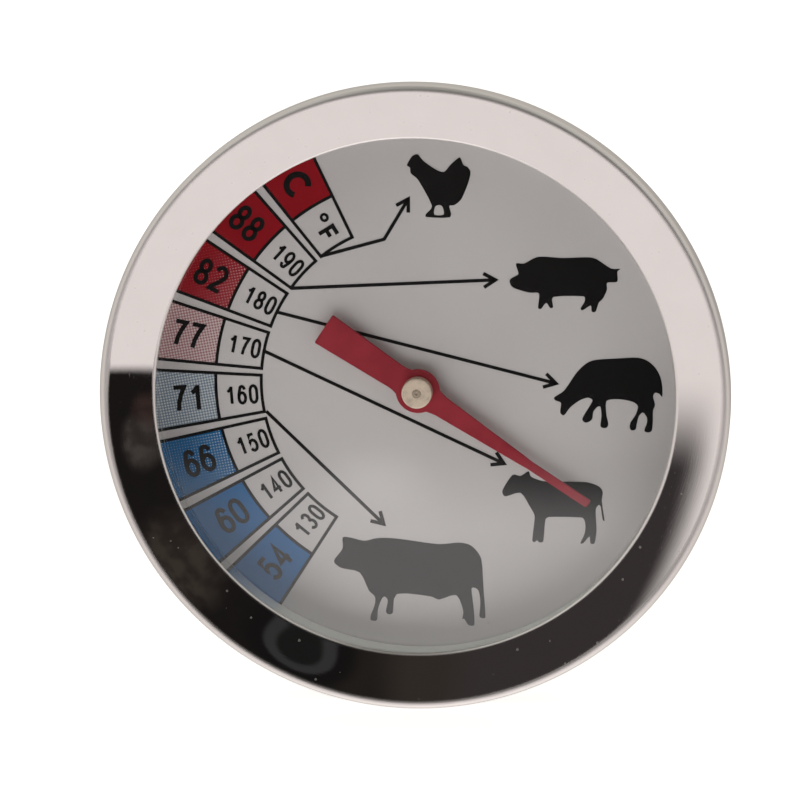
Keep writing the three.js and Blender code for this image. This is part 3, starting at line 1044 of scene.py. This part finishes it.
def make_anchor():
    back, front = extent("coil_anchor")[:2]
    pin, plug_front = 0.7, back + 2
    profile = rounded([
        (0, back), (STEM_BORE, back, 0.1), (STEM_BORE, plug_front, 0.1), (pin, plug_front),
        (pin, front, 0.1), (0, front),
    ])
    revolve("anchor", "coil_anchor", BRASS, profile)


def make_coil():
    """The bimetal strip, wound on the stem's axis; on the real thermometer it twists as the staff
    turns.
    """
    back, front = extent("bimetal_coil")[:2]
    turns, per_turn = 14, 48
    mean, edge = 1.2, 0.04
    thick, wide = 0.15 / 2, 1.8 / 2
    section = (
        (-thick, edge - wide), (edge - thick, -wide), (thick - edge, -wide), (thick, edge - wide),
        (thick, wide - edge), (thick - edge, wide), (edge - thick, wide), (-thick, wide - edge),
    )
    points, loops = [], []
    for t in spread(0, 1, turns * per_turn):
        a = TURN * turns * t
        station = back + wide + (front - back - 2 * wide) * t
        loops.append(list(range(len(points), len(points) + len(section))))
        for out, along in section:
            r = mean + out
            points.append((r * math.sin(a), -(station + along), r * math.cos(a)))
    piece = solid("coil", points, [*bands(loops), loops[0], loops[-1]], BIMETAL)
    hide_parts("bimetal_coil")
    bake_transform(piece)


# ---- Studio ----


def make_world():
    """A white room with a pale table; the dark part is what faces the dial, camera included.

    Azimuths and elevations are in degrees from the dial's axis, to the right and up.
    """
    g = Graph(bpy.data.worlds.new("studio"))
    direction = g.node("TexCoord").outputs["Generated"]
    x, y, z = g.split(direction)
    to_degrees = 360 / TURN
    azimuth = g.times(g.math("ARCTAN2", x, g.times(y, -1)), to_degrees)
    elevation = g.times(g.math("ARCSINE", z), to_degrees)
    off_axis, off_level = g.math("ABSOLUTE", azimuth), g.math("ABSOLUTE", elevation)
    here = g.join(azimuth, elevation, 0)

    def off(centre):
        """Distance in degrees from a direction."""
        return g.vector("DISTANCE", here, (*centre, 0))

    def spot(base, centre, inner, outer, colour, share=1):
        """Adds a round patch of colour that fades from its inner to its outer radius."""
        return g.mix(g.span(off(centre), outer, inner, 0, share), base, colour)

    horizon = g.plus(elevation, g.times(g.plus(azimuth, 2.4), 0.05))
    pale_thing = g.span(off((-5.4, -11.35)), 0.35, 1.15)
    above_table = g.times(g.span(horizon, -11.6, -10.4), pale_thing)
    far_left = g.span(azimuth, -14, -24)
    above_table = g.mix(far_left, above_table, g.span(elevation, -12.5, -3.5))
    lean = g.times(g.plus(elevation, 9), 0.2)
    left_side = g.span(g.math("SUBTRACT", azimuth, lean), -36.4, -30)
    right_side = g.span(azimuth, 44, 34)
    below_ceiling = g.span(elevation, 44, 28)
    dark = g.times(g.times(above_table, left_side), g.times(right_side, below_ceiling))

    room = g.mix(g.span(azimuth, -12, -7), (0.047, 0.0405, 0.041), (0.041, 0.034, 0.0295))
    room = g.mix(g.span(azimuth, -5, -0.5), room, (0.021, 0.018, 0.0155))
    room = g.mix(g.span(azimuth, 1, 6), room, (0.0125, 0.0115, 0.011))
    room = spot(room, (18, 6.5), 2.5, 6.5, (0.054, 0.045, 0.037), 0.95)
    room = spot(room, (20, -8.2), 0.8, 2.2, (0.052, 0.033, 0.028), 0.9)
    room = spot(room, (21, -5.2), 1.2, 3.2, (0.075, 0.065, 0.06), 0.9)
    mottle = g.noise(g.vector("SCALE", direction, scale=26), 1, 4, 0.6)
    mottle = g.times(g.span(mottle, 0.4, 0.6, 0, 0.6), g.span(azimuth, 9, 13))
    room = g.mix(mottle, room, (0.014, 0.0105, 0.0105))
    camera_lens = (6.1, 14.2)
    room = spot(room, camera_lens, 4.6, 6.8, (0.0098, 0.0092, 0.0092))
    room = spot(room, camera_lens, 3.4, 4, (0.041, 0.041, 0.042))
    room = spot(room, camera_lens, 2, 2.7, (0.0125, 0.0135, 0.013))

    wall = g.mix(g.span(elevation, -25, 60), (1.02, 0.965, 0.955), (0.86, 0.89, 0.83))
    wall = g.mix(g.span(elevation, -46, -58), wall, (1.6, 1.55, 1.53))
    table_edge = g.times(
        g.span(azimuth, -5.6, -7.6), g.span(azimuth, -20, -14), g.span(elevation, -16, -13.5),
    )
    wall = g.mix(g.times(table_edge, 0.42), wall, (0.2, 0.2, 0.2))
    overhead = g.times(
        g.span(g.math("ABSOLUTE", x), 0.34, 0.2), g.span(elevation, 24, 36),
        g.span(y, 0.1, -0.05),
    )
    wall = g.mix(g.times(overhead, 0.85), wall, (0.12, 0.11, 0.1))
    wall = g.mix(g.times(g.span(off_axis, 42, 75), 0.6), wall, (0.66, 0.62, 0.56))
    rear_band = g.times(g.span(off_axis, 80, 150), g.span(off_level, 30, 4))
    wall = g.mix(g.times(rear_band, 0.72), wall, (0.2, 0.19, 0.18))

    lit = g.node("Background", {"Color": g.mix(dark, wall, room)}).outputs[0]
    seen = g.node("Background", {"Color": (1, 1, 1)}).outputs[0]
    shown = g.blend(g.node("LightPath").outputs["Is Camera Ray"], lit, seen)
    bpy.context.scene.world = g.surface(shown, "OutputWorld")


def make_key_light():
    """A weak, broad softbox from the lower left, which gives the pointer its soft shadow."""
    lamp = bpy.data.lights.new("softbox", "AREA")
    lamp.shape, lamp.size, lamp.energy = "DISK", 0.75, 1.21
    lamp.color = (1, 0.985, 0.97)
    distance, towards = 0.4, Vector((-0.3, -0.66, -0.69)).normalized()
    holder = add("softbox", lamp)
    holder.location = Vector((0, -DIAL_FACE * MM, 0)) + towards * distance
    holder.rotation_euler = towards.to_track_quat("Z", "Y").to_euler()
    holder.visible_glossy = holder.visible_camera = False


def make_floor():
    """A pale matt sheet under the bezel."""
    g = new_graph("pale_sheet")
    tint = g.mix(g.noise(g.place(), 0.02, 3), (0.93, 0.93, 0.92), (0.97, 0.97, 0.965))
    glow = g.node("Emission", {"Color": (1, 1, 1), "Strength": 0.6}).outputs[0]
    both = g.node("AddShader", {0: principled(g, tint, 0.8), 1: glow}).outputs[0]
    half, level = 3000, -extent("bezel")[2]
    corners = ((-half, -half), (half, -half), (half, half), (-half, half))
    mesh = bpy.data.meshes.new("floor")
    mesh.from_pydata([Vector((*c, level)) * MM for c in corners], [], [(0, 1, 2, 3)])
    mesh.materials.append(g.surface(both))
    floor = add("floor", mesh)
    floor.visible_diffuse = floor.visible_glossy = floor.visible_shadow = False


def make_camera():
    """A long lens a little above and to the right of the dial's axis."""
    azimuth, elevation = math.radians(5.076), math.radians(9.766)
    distance, aside, down = 450, 1.364, 0.112
    level = math.cos(elevation)
    towards = Vector((math.sin(azimuth) * level, -math.cos(azimuth) * level, math.sin(elevation)))
    turn = towards.to_track_quat("Z", "Y")
    right, up = turn @ Vector((1, 0, 0)), turn @ Vector((0, 1, 0))
    lip_centre = Vector((0, -(extent("lens")[1] + SHEET), 0))
    data = bpy.data.cameras.new("camera")
    data.lens, data.sensor_width = 206.55, 36
    data.clip_start, data.clip_end = 0.01, 20
    camera = add("camera", data)
    camera.location = (lip_centre + towards * distance - right * aside - up * down) * MM
    camera.rotation_mode = "QUATERNION"
    camera.rotation_quaternion = turn
    bpy.context.scene.camera = camera


for make in (
    make_case, make_bezel, make_spacer, make_lens, make_rings, make_patches, make_cell_lines,
    make_arrows, make_numbers, make_animals, make_blade, make_hub, make_staff, make_arbor,
    make_tip, make_collar, make_nut, make_washer, make_upper_bearing, make_anchor, make_coil,
    make_world, make_key_light, make_floor, make_camera,
):
    make()
bpy.context.scene.view_settings.view_transform = "Standard"
